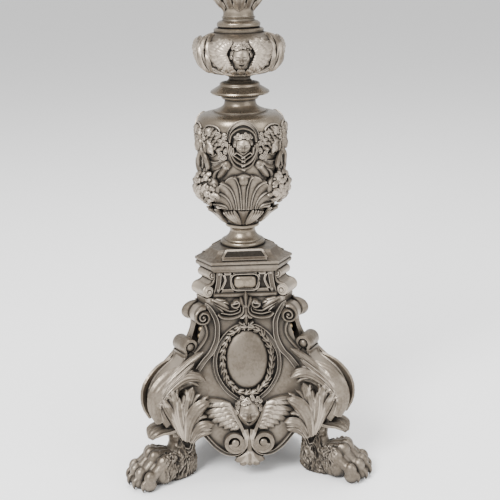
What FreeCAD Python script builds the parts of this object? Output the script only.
"""Baroque altar candlestick: a three-sided footed base and a turned stem, clamped on one tie rod.

Frame: +Z up, origin on the stem's axis at the level of the floor. One side of the base faces -Y, and
one foot points along +Y. All sizes are in millimetres. Each cast section is a hollow shell. The legs,
corner scrolls and side panels stand round a bridge plate, and the rod's nut pulls the whole stack down
on to that plate. The drip pan lies loose on its cup and lifts off over the pricket.
"""

import FreeCAD, Part  # noqa: E401  FreeCAD has to be imported first
import math
import os

from FreeCAD import Vector

# ---- driving dimensions -------------------------------------------------------------------------

SIDES = 3                       # sides, legs and feet of the base
TURN = 360.0 / SIDES            # degrees from one side to the next
LEGS = ("rear", "left", "right")            # a leg's direction is +Y turned by TURN * index
PANELS = ("front", "right", "left")         # a panel's normal is -Y turned by TURN * index
CORNER_HALF = 10.0              # half the width of a leg and of a corner scroll
PANEL_WALL = 4.0                # wall of the side panels
GAP = 0.05                      # air between a side panel and the corner castings

ANKLE_Z = 42.0                  # top of a paw, where its leg starts
KNEE_Z = 118.0                  # top of a leg, where its corner scroll starts
DIE_Z = 165.5                   # top of the panels, where the die stands
CORNICE_Z = 188.5               # top of the die
PLATFORM_Z = 207.0              # top of the cornice, where the turned stem starts
VASE_Z = 227.5
COLLAR_Z = 336.5
KNOP_NECK_Z = 351.6
KNOP_Z = 359.5
KNOP_RING_Z = 393.0
SHAFT_Z = 406.0
STEM_DISC_Z = 604.0
UPPER_KNOP_Z = 614.0
CUP_Z = 646.0
PAN_Z = 690.0                   # rim of the cup, where the drip pan lies
PIN_FOOT_Z = 694.0              # foot of the pricket's straight shank, just above the pan's floor
PIN_TOP_Z = 735.0               # top of the pricket's straight shank
POINT_Z = 786.0                 # tip of the pricket

ROD_R = 3.0                     # tie rod, M6
ROD_HOLE_R = 3.6
ROD_FOOT_Z = 148.0
ROD_TOP_Z = 681.0
BRIDGE_WALL = 5.0
WASHER_WALL = 2.0
BOLT_R = 1.8                    # corner bolts
BOLT_ZS = (128.0, 134.5)
MEDALLION_Z = 111.0             # middle of the oval plaque
PLAQUE_HALF = (17.5, 26.5)
WREATH_OUTER = (25.0, 33.5)
WREATH_INNER = (18.3, 27.3)
NUT_HIGH = 5.0
PIN_R = 4.0                     # straight shank of the pricket
PIN_SHOULDER_R = 4.6            # the pricket where it passes through the drip pan
PAN_HOLE_R = 5.4
TIGHT = 0.05                    # clearance of a thread drawn as a plain cylinder
SEAM_TURN = 20.0                # turns a casting so that no mass sits on the seam of its round surface

# Half depth of the base, from the axis to the outside of a side panel, at each height.
PANEL_FACE = ((0.0, 53.0), (22.0, 52.5), (45.0, 51.0), (70.0, 47.0), (95.0, 41.5), (120.0, 36.5),
              (145.0, 32.0), (166.5, 30.0))


# ---- helpers ------------------------------------------------------------------------------------

def turned(shape, degrees):
    """A copy of shape, turned about the stem's axis."""
    copy = shape.copy()
    copy.rotate(Vector(0, 0, 0), Vector(0, 0, 1), degrees)
    return copy


def save(name, shape):
    """Writes one sub-part."""
    shape = shape.removeSplitter()
    if not shape.isValid():
        raise ValueError(name + " isn't a valid solid")
    shape.exportStep("parts/" + name + ".step")
    print("%-24s %9.1f mm3  %d solid(s)" % (name, shape.Volume, len(shape.Solids)))


def save_round(name, names, shape):
    """Writes the same shape once for each side of the base."""
    for index, side in enumerate(names):
        save(name + "_" + side, turned(shape, TURN * index))


def edges_of(segments, point):
    """Edges through the segments. A tuple is the end of a straight edge, and a list is a curve through its
    points. The first segment is the starting point, and point() places a pair of numbers."""
    edges = []
    last = point(*segments[0])
    for segment in segments[1:]:
        if isinstance(segment, list):
            through = [last] + [point(*pair) for pair in segment]
            curve = Part.BSplineCurve()
            curve.interpolate(through)
            edges.append(curve.toShape())
            last = through[-1]
        else:
            end = point(*segment)
            edges.append(Part.LineSegment(last, end).toShape())
            last = end
    return edges


def face_of(segments, point):
    """A face inside the outline that the segments make, closed by a straight edge if they leave it open."""
    edges = edges_of(segments, point)
    last = segments[-1]
    start, end = point(*segments[0]), point(*(last[-1] if isinstance(last, list) else last))
    if start.distanceToPoint(end) > 1e-6:
        edges.append(Part.LineSegment(end, start).toShape())
    return Part.Face(Part.Wire(edges))


def in_section(radius, z):
    """A point of a turned profile, or of a leg's side view, as the rear leg stands."""
    return Vector(0, radius, z)


def in_front(x, z):
    """A point of the front panel's elevation."""
    return Vector(x, 0, z)


def in_plan(x, y):
    return Vector(x, y, 0)


def spun(segments):
    """A solid of revolution, from profile segments of (radius, z) that start and end on the axis."""
    return face_of(segments, in_section).revolve(Vector(0, 0, 0), Vector(0, 0, 1), 360)


def casting(profile, hollow=None):
    """A turned casting with a hole for the tie rod. profile runs up the outside, and hollow, if any, up the
    inside; both are closed along the axis."""
    low, high = profile[0][1], profile[-1][-1][1] if isinstance(profile[-1], list) else profile[-1][1]
    body = spun([(0, low)] + profile + [(0, high)])
    if hollow:
        inner_low = hollow[0][1]
        inner_high = hollow[-1][-1][1] if isinstance(hollow[-1], list) else hollow[-1][1]
        body = body.cut(spun([(0, inner_low)] + hollow + [(0, inner_high)]))
    return body.cut(Part.makeCylinder(ROD_HOLE_R, high - low + 2, Vector(0, 0, low - 1)))


def slab(segments, half_width):
    """A side view (radius, z) made solid, equally to both sides of the rear leg's plane."""
    face = face_of(segments, in_section)
    face.translate(Vector(-half_width, 0, 0))
    return face.extrude(Vector(2 * half_width, 0, 0))


def hexagon(side_face, corner_face, z):
    """The outline of a three-sided block with cut corners: distances from the axis to its sides and corners."""
    side, corner = math.radians(TURN / 2), math.radians(TURN)
    points = []
    for index in range(SIDES):
        middle = -math.pi / 2 + corner * index      # this side's normal
        for turn in (-1, 1):
            to_corner = middle + turn * side        # the normal of the cut corner beside it
            along = (corner_face - side_face * math.cos(side)) / math.sin(side)
            x = side_face * math.cos(middle) - turn * along * math.sin(middle)
            y = side_face * math.sin(middle) + turn * along * math.cos(middle)
            points.append(Vector(x, y, z))
            assert abs(x * math.cos(to_corner) + y * math.sin(to_corner) - corner_face) < 1e-6
    return Part.makePolygon(points + [points[0]])


def block(levels):
    """A three-sided block through levels of (z, side distance, corner distance)."""
    wires = [hexagon(side, corner, z) for z, side, corner in levels]
    return Part.makeLoft(wires, True, True)


def oval(half_wide, half_high, z):
    """An upright oval outline in the front elevation, as a face."""
    turn_up = half_high > half_wide
    major, minor = (half_high, half_wide) if turn_up else (half_wide, half_high)
    ellipse = Part.Ellipse(Vector(0, 0, 0), major, minor)
    face = Part.Face(Part.Wire(ellipse.toShape()))
    if turn_up:
        face.rotate(Vector(0, 0, 0), Vector(0, 0, 1), 90)
    face.rotate(Vector(0, 0, 0), Vector(1, 0, 0), 90)
    face.translate(Vector(0, 0, z))
    return face


def panel_layer(inner, outer):
    """The curved layer that lies from inner to outer millimetres outside the front panel's face."""
    wide = 75.0
    ahead = [(-(depth + outer), z) for z, depth in PANEL_FACE]
    behind = [(-(depth + inner), z) for z, depth in reversed(PANEL_FACE)]
    face = face_of([ahead[0], ahead[1:], behind[0], behind[1:]], in_section)
    face.translate(Vector(-wide, 0, 0))
    return face.extrude(Vector(2 * wide, 0, 0))


def on_panel(face, inner, outer):
    """The part of a panel layer that lies behind an outline of the front elevation."""
    return face.extrude(Vector(0, -90, 0)).common(panel_layer(inner, outer))


def ball(radius, x, y, z):
    return Part.makeSphere(radius, Vector(x, y, z))


def round_bar(radius, start, end):
    """A bar from one point to another."""
    way = end.sub(start)
    return Part.makeCylinder(radius, way.Length, start, way)


# ---- base: paws, legs, corner scrolls and side panels -------------------------------------------

def paw():
    """A lion's paw: heel and ankle, instep, and four toes on a flat sole."""
    toe_r, toe_reach, toe_z = 6.4, 115.0, 6.2
    side = slab([(54, 0), [(51.5, 7), (52, 20), (54, ANKLE_Z)], (78, ANKLE_Z),
                 [(77.5, 34), (83, 28.5), (95, 28.5), (105, 24), (112, 17)], [(119, 12), (120, 5), (116, 0)]],
                24)
    plan = face_of([(-8.5, 53), [(-12, 66), (-12.5, 80), (-17, 98), (-17, 112), (-12, 119)],
                    [(0, 121.5), (12, 119)], [(17, 112), (17, 98), (12.5, 80), (12, 66), (8.5, 53)]], in_plan)
    plan.translate(Vector(0, 0, -1))
    solid = side.common(plan.extrude(Vector(0, 0, ANKLE_Z + 2)))
    for step in (-1.5, -0.5, 0.5, 1.5):
        reach = toe_reach - 1.6 * abs(step) ** 2
        solid = solid.fuse(ball(toe_r, 9.2 * step, reach, toe_z))
    sole = Part.makeBox(60, 140, 60, Vector(-30, 0, 0))
    return solid.common(sole)


def leg():
    """The S-shaped leg from the ankle up to the curl at the knee, hollow towards the axis."""
    outline = [(57, ANKLE_Z), (80, ANKLE_Z), (96, 43.5),
               [(99, 45.5), (96.5, 49.5), (90.5, 54)],
               [(94.5, 62), (98, 71), (98.7, 81), (95.5, 91), (89, 99.5), (80, 105.5), (72, 110.5), (69, KNEE_Z)],
               (46, KNEE_Z), [(50, 106), (55, 92), (57, 74)]]
    hollow = [(60, ANKLE_Z + 4), (82, ANKLE_Z + 4), [(86, 56), (91, 68), (92.5, 80), (85, 96), (64, 112)],
              (60, 104)]
    curl = round_bar(7.6, Vector(-CORNER_HALF, 63, 124), Vector(CORNER_HALF, 63, 124))
    above = Part.makeBox(30, 60, 20, Vector(-15, 30, KNEE_Z))
    solid = slab(outline, CORNER_HALF).cut(slab(hollow, CORNER_HALF - 3))
    web = slab([(56, KNEE_Z - 1), (69, KNEE_Z - 1), (70, 124), (56, 124)], CORNER_HALF)
    return solid.fuse(curl.common(above)).fuse(web).cut(round_bar(
        2.7, Vector(0, 66, ANKLE_Z - 1), Vector(0, 66, ANKLE_Z + 6)))


def corner_scroll():
    """The upper corner: a post with one large volute, drilled for its two bolts."""
    post = slab([(34, KNEE_Z), (56, KNEE_Z), [(49, 123), (45, 130), (44, 140)], (44, DIE_Z), (34, DIE_Z)],
                CORNER_HALF)
    volute = round_bar(9.5, Vector(-CORNER_HALF, 46, 149), Vector(CORNER_HALF, 46, 149))
    solid = post.fuse(volute)
    for z in BOLT_ZS:
        solid = solid.cut(round_bar(BOLT_R + TIGHT, Vector(0, 30, z), Vector(0, 60, z)))
    return solid


def corner_bolts():
    """Two domed bolts in each corner post, in the hollow under the volute."""
    post = corner_scroll()
    bolts = []
    for z in BOLT_ZS:
        surface = 45.7 if z < 130 else 44.4
        shank = round_bar(BOLT_R, Vector(0, 30, z), Vector(0, surface + 0.5, z))
        head = ball(2.7, 0, surface + 1.2, z)
        outside = Part.makeBox(20, 20, 20, Vector(-10, surface + 0.6, z - 10))
        bolts.append(shank.fuse(head.common(outside)).cut(post))
    return Part.makeCompound([turned(bolt, TURN * index) for index in range(SIDES) for bolt in bolts])


def corner_nuts():
    """A hexagon nut on each of those bolts, against the inside of the post."""
    across, thick = 2.9, 2.4
    nuts = []
    for z in BOLT_ZS:
        corners = [Vector(across * math.sin(math.radians(60 * k)), 34 - thick,
                          z + across * math.cos(math.radians(60 * k))) for k in range(6)]
        nut = Part.Face(Part.makePolygon(corners + [corners[0]])).extrude(Vector(0, thick, 0))
        nuts.append(nut.cut(round_bar(BOLT_R + TIGHT, Vector(0, 28, z), Vector(0, 40, z))))
    return Part.makeCompound([turned(nut, TURN * index) for index in range(SIDES) for nut in nuts])


def corner_keepout():
    """The room that the legs and corner scrolls take, for cutting the panels."""
    half = CORNER_HALF + GAP
    room = Part.makeBox(2 * half, 90, DIE_Z + 1, Vector(-half, 32, -0.5))
    return room.fuse([turned(room, TURN * index) for index in (1, 2)])


def side_panel(keepout):
    """A curved side of the base: its apron is cut in arches and ends in a pendant."""
    apron = [(14, 21), (24, 25.5), (33, 33), (40, 43), (45.5, 47), (50.5, 44.5), (54, ANKLE_Z + 0.3)]
    sides = [(70, ANKLE_Z + 0.3), (70, 55), (66, 80), (56, 105), (42, 130), (38, 150), (36, DIE_Z)]
    right = [(0, 12.5), [(6, 15.5), apron[0]], apron[1:], sides[0], sides[1:]]
    left = [(-36, DIE_Z), [(-x, z) for x, z in reversed(sides[:-1])], (-54, ANKLE_Z + 0.3),
            [(-x, z) for x, z in reversed(apron[:-1])], [(-6, 15.5), (0, 12.5)]]
    edges = edges_of(right + left, in_front)
    plate = on_panel(Part.Face(Part.Wire(edges)), -PANEL_WALL, 0)
    return plate.cut(keepout)


def medallion():
    """The plain oval plaque of a side."""
    return on_panel(oval(*PLAQUE_HALF, MEDALLION_Z), 0, 2.2)


def wreath():
    """The laurel wreath round the plaque."""
    ring = oval(*WREATH_OUTER, MEDALLION_Z).cut(oval(*WREATH_INNER, MEDALLION_Z))
    return on_panel(ring, 0, 3.6)


def cherub():
    """The winged head on the apron: a domed head in front of two spread wings."""
    wing = [(12, 55), (22, 52), (34, 56), (41, 68), (38, 76)]
    top = [(24, 77.5), (14, 72), (8, 68)]
    wings = face_of([(0, 50), wing, top, (-8, 68), [(-x, z) for x, z in [top[1], top[0], wing[-1]]],
                     [(-x, z) for x, z in reversed(wing[:-1])] + [(0, 50)]], in_front)
    head = on_panel(oval(9.5, 13.0, 62.0), 0, 8.5)
    return on_panel(wings, 0, 3.0).fuse(head)


# ---- base: die, cornice and bridge ---------------------------------------------------------------

def die():
    """The hollow three-sided die between panels and cornice, with a small roll at each corner."""
    ledge = block([(DIE_Z, 29.5, 38.0), (DIE_Z + 1.5, 31.0, 39.0), (DIE_Z + 4, 31.0, 39.0), (DIE_Z + 5, 28.5, 36.5)])
    body = block([(DIE_Z + 5, 28.0, 36.0), (DIE_Z + 11, 26.8, 35.0), (DIE_Z + 17, 26.8, 35.0),
                  (CORNICE_Z, 28.5, 36.5)])
    solid = ledge.fuse(body)
    roll = round_bar(6.2, Vector(-CORNER_HALF, 43.2, 171.7), Vector(CORNER_HALF, 43.2, 171.7))
    web = Part.makeBox(2 * CORNER_HALF, 12, 9, Vector(-CORNER_HALF, 32, DIE_Z))
    for index in range(SIDES):
        solid = solid.fuse([turned(roll, TURN * index), turned(web, TURN * index)])
    room = block([(DIE_Z - 1, 22.0, 29.0), (CORNICE_Z + 1, 22.0, 29.0)])
    return solid.cut(room)


def die_cabochons(die_solid):
    """A long oval boss on each side of the die, bedded on its curved face."""
    ends = [round_bar(6.2, Vector(x, -29.6, 178.4), Vector(x, -24.5, 178.4)) for x in (-5.2, 5.2)]
    middle = Part.makeBox(10.4, 5.1, 12.4, Vector(-5.2, -29.6, 172.2))
    boss = ends[0].fuse([ends[1], middle]).cut(die_solid)
    return Part.makeCompound([turned(boss, TURN * index) for index in range(SIDES)])


def cornice():
    """The moulded cap of the base: bed mould, slab, and a hollow slope up to the platform."""
    bed = block([(CORNICE_Z, 28.5, 36.5), (CORNICE_Z + 1.2, 30.5, 39.0), (CORNICE_Z + 3.2, 31.0, 39.5)])
    slab_block = block([(CORNICE_Z + 3.2, 32.2, 41.0), (CORNICE_Z + 6.4, 32.8, 41.6), (CORNICE_Z + 7.4, 31.6, 40.4),
                        (CORNICE_Z + 8.2, 33.2, 42.0), (CORNICE_Z + 10.6, 33.2, 42.0)])
    slope = block([(CORNICE_Z + 10.6, 31.8, 40.6), (CORNICE_Z + 12.6, 27.6, 36.4), (CORNICE_Z + 15.0, 24.0, 32.8),
                   (CORNICE_Z + 17.6, 22.0, 30.8), (PLATFORM_Z, 22.0, 30.8)])
    room = block([(CORNICE_Z - 1, 22.0, 29.0), (CORNICE_Z + 8, 22.0, 29.0), (CORNICE_Z + 14, 16.0, 22.0)])
    hole = Part.makeCylinder(ROD_HOLE_R, 60, Vector(0, 0, CORNICE_Z - 10))
    return bed.fuse([slab_block, slope]).cut(room).cut(hole)


def bridge_plate():
    """The iron plate under the die that the tie rod pulls against."""
    plate = block([(DIE_Z - BRIDGE_WALL, 24.8, 33.0), (DIE_Z, 24.8, 33.0)])
    return plate.cut(Part.makeCylinder(ROD_HOLE_R, 20, Vector(0, 0, DIE_Z - 10)))


def foot_screws():
    """A screw up through each ankle into its leg's floor, with its head in the leg."""
    base = Vector(0, 66, ANKLE_Z + 4)
    shank = round_bar(2.6, Vector(0, 66, ANKLE_Z - 12), Vector(0, 66, ANKLE_Z + 4.3))
    head = round_bar(4.4, base, base.add(Vector(0, 0, 3)))
    screw = shank.fuse(head)
    return Part.makeCompound([turned(screw, TURN * index) for index in range(SIDES)])


# ---- turned stem ---------------------------------------------------------------------------------

def lower_neck():
    """The waisted spool on the cornice, with a ring at its foot and one under the vase."""
    return casting([(17.0, PLATFORM_Z), [(18.8, 209.2), (17.2, 211.4)], (16.2, 211.8),
                    [(13.2, 214.6), (11.2, 218.2), (11.4, 221.4), (12.8, 223.4)],
                    [(14.9, 225.2), (13.6, VASE_Z)]])


def vase():
    """The pear-shaped vase, with the masses of its three masks, shells and side figures."""
    outside = [(13.6, VASE_Z), [(19.0, 231.7), (24.5, 237.5), (29.5, 245), (32.6, 254), (34.6, 265), (36.4, 280),
                                (38.2, 296), (38.9, 307), (38.0, 316), (34.5, 321.8), (28.6, 325.2), (22.5, 327.2)],
               (21.0, 328.4), [(17.0, 329.6), (14.2, 332.0), (13.3, COLLAR_Z)]]
    room = [(8.0, VASE_Z + 3), [(21, 239), (29, 256), (34.5, 296), (35.5, 308), (30, 320), (20, 324.6), (9.5, 327),
                                (9.0, COLLAR_Z - 3)]]
    solid = turned(casting(outside, room), SEAM_TURN)
    hollow = turned(spun([(0, VASE_Z + 3)] + room + [(0, COLLAR_Z - 3)]), SEAM_TURN)
    for index in range(SIDES):
        front = -90 + TURN * index
        side = front + TURN / 2
        for angle, radius, reach, z in ((front, 9.5, 34.0, 297.0), (front, 12.0, 24.0, 251.0),
                                        (side, 11.0, 32.0, 262.0), (side, 8.0, 33.0, 292.0)):
            mass = ball(radius, reach, 0, z).cut(turned(hollow, -angle))
            solid = solid.fuse(turned(mass, angle))
    return solid


def collar_disc():
    """The sharp-edged disc over the vase's neck."""
    return casting([(14.2, COLLAR_Z), [(16.4, 338.2), (15.2, 340.0)], [(20.0, 340.6), (24.0, 342.0)],
                    [(25.0, 343.2), (24.2, 344.6)], [(19.6, 346.4), (15.4, 348.3)], [(15.6, 349.6), (14.0, 350.6)],
                    (12.2, KNOP_NECK_Z)])


def knop_neck():
    """The short waist under the knop."""
    return casting([(11.8, KNOP_NECK_Z), [(9.6, 353.4), (9.4, 355.0), (10.6, 356.4)],
                    [(12.8, 357.2), (13.4, 358.2), (12.8, KNOP_Z)]])


def knop():
    """The round knop, with the masses of its three masks and its three leaf straps."""
    outside = [(14.0, KNOP_Z), [(21.0, 361.2), (28.0, 364.2), (32.4, 369.0), (34.2, 376), (33.8, 383),
                                (31.0, 388.6), (26.0, 391.8), (21.0, KNOP_RING_Z)]]
    room = [(9.0, 363.5), [(24.5, 367), (30.6, 376), (27.5, 386.5), (14.0, 390)]]
    solid = turned(casting(outside, room), SEAM_TURN)
    hollow = turned(spun([(0, 363.5)] + room + [(0, 390)]), SEAM_TURN)
    for index in range(SIDES):
        front = -90 + TURN * index
        for angle, radius, reach in ((front, 7.0, 31.0), (front + TURN / 2, 11.0, 27.4)):
            mass = ball(radius, reach, 0, 376.3).cut(turned(hollow, -angle))
            solid = solid.fuse(turned(mass, angle))
    return solid


def knop_ring():
    """The stepped rings on top of the knop."""
    return casting([(21.0, KNOP_RING_Z), [(22.8, 394.6), (21.2, 396.2)], [(20.2, 397.0), (19.2, 399.6), (17.4, 401.4)],
                    (16.4, 401.8), [(15.8, 403.4), (14.0, 404.2)], (13.6, SHAFT_Z)])


def shaft():
    """The long tapering baluster of the upper stem."""
    return casting(
        [(13.2, SHAFT_Z), [(12.8, 409), (14.4, 414), (19.5, 421), (24.5, 430), (26.2, 440), (25.0, 454), (21.2, 482),
                           (17.6, 514), (14.6, 546), (12.4, 578), (11.6, 598)],
         [(14.6, 601), (13.4, STEM_DISC_Z)]],
        [(9.0, SHAFT_Z + 4), [(10.6, 413), (20.5, 428), (23.0, 440), (18.2, 482), (11.6, 546), (8.8, 590)]])


def stem_disc():
    """The disc that ends the baluster."""
    return casting([(12.8, STEM_DISC_Z), (16.5, 604.8), [(20.2, 606.4), (21.0, 608.2), (18.6, 610.8)],
                    (13.0, 612), (10.6, UPPER_KNOP_Z)])


def upper_knop():
    """The small gadrooned knop under the cup."""
    return casting([(10.2, UPPER_KNOP_Z), [(9.6, 617), (13.6, 620.4), (19.6, 626), (21.4, 632), (19.4, 638.4),
                                           (13.6, 643), (11.0, CUP_Z)]],
                   [(6.5, 620), [(15.5, 627), (17.5, 632), (15.0, 637.5), (6.5, 642)]])


def pan_cup():
    """The flaring cup that carries the drip pan and takes the foot of the pricket."""
    solid = casting([(10.8, CUP_Z), [(9.2, 650), (9.6, 656), (13.0, 664), (20.0, 672.5), (27.4, 680), (30.4, 686.4)],
                     (30.6, PAN_Z)])
    bowl = spun([(0, 672), (9.05, 672), (9.05, 678), [(17.5, 682), (22, PAN_Z - 1), (22.4, PAN_Z)], (0, PAN_Z)])
    return solid.cut(bowl)


def pricket():
    """The candle spike: a round foot in the cup, a straight shank and a long point."""
    solid = spun([(0, 672), (9.0, 672), (9.0, 680), (PIN_SHOULDER_R, 686), (PIN_SHOULDER_R, PIN_FOOT_Z),
                  (PIN_R, PIN_FOOT_Z), (PIN_R, PIN_TOP_Z), [(3.0, 752), (1.6, 772), (0.6, POINT_Z - 0.6)],
                  (0, POINT_Z)])
    return solid.cut(Part.makeCylinder(ROD_R + TIGHT, ROD_TOP_Z - 671, Vector(0, 0, 671)))


def drip_pan():
    """The loose dish for wax: a flat floor with a hole for the spike, and an upturned lip."""
    outer = [(28, PAN_Z), [(38, 691.4), (46, 695.4), (51, 701.4), (53.4, 704.0)]]
    lip = [(54.4, 705.6), (53.2, 707.2), (51.6, 706.4)]
    inner = [[(48.4, 702.8), (43.6, 697.8), (37, 694.4), (28, 693)], (PAN_HOLE_R, 693)]
    face = face_of([(PAN_HOLE_R, PAN_Z)] + outer + [lip] + inner, in_section)
    return face.revolve(Vector(0, 0, 0), Vector(0, 0, 1), 360)


# ---- fasteners of the stem -----------------------------------------------------------------------

def tie_rod():
    return Part.makeCylinder(ROD_R, ROD_TOP_Z - ROD_FOOT_Z, Vector(0, 0, ROD_FOOT_Z))


def tie_rod_washer():
    z = DIE_Z - BRIDGE_WALL - WASHER_WALL
    ring = Part.makeCylinder(10, WASHER_WALL, Vector(0, 0, z))
    return ring.cut(Part.makeCylinder(ROD_HOLE_R, WASHER_WALL, Vector(0, 0, z)))


def tie_rod_nut():
    across = 6.2
    z = DIE_Z - BRIDGE_WALL - WASHER_WALL - NUT_HIGH
    corners = [Vector(across * math.cos(math.radians(60 * k)), across * math.sin(math.radians(60 * k)), z)
               for k in range(6)]
    nut = Part.Face(Part.makePolygon(corners + [corners[0]])).extrude(Vector(0, 0, NUT_HIGH))
    return nut.cut(Part.makeCylinder(ROD_R + TIGHT, NUT_HIGH, Vector(0, 0, z)))


# ---- all sub-parts -------------------------------------------------------------------------------

def main():
    os.makedirs("parts", exist_ok=True)
    screws = foot_screws()
    save_round("paw_foot", LEGS, paw().cut(screws))
    save_round("leg_scroll", LEGS, leg())
    save_round("corner_volute", LEGS, corner_scroll())
    panel = side_panel(corner_keepout())
    save_round("side_panel", PANELS, panel)
    save_round("medallion", PANELS, medallion())
    save_round("laurel_wreath", PANELS, wreath())
    save_round("winged_head", PANELS, cherub())
    save("foot_screws", screws)
    save("corner_bolts", corner_bolts())
    save("corner_nuts", corner_nuts())
    die_solid = die()
    save("plinth_die", die_solid)
    save("die_cabochons", die_cabochons(die_solid))
    save("cornice", cornice())
    save("bridge_plate", bridge_plate())
    save("lower_neck", lower_neck())
    save("vase_body", vase())
    save("collar_disc", collar_disc())
    save("knop_neck", knop_neck())
    save("knop_body", knop())
    save("knop_ring", knop_ring())
    save("stem_shaft", shaft())
    save("stem_disc", stem_disc())
    save("upper_knop", upper_knop())
    save("pan_cup", pan_cup())
    save("pricket", pricket())
    save("drip_pan", drip_pan())
    save("tie_rod", tie_rod())
    save("tie_rod_washer", tie_rod_washer())
    save("tie_rod_nut", tie_rod_nut())


main()
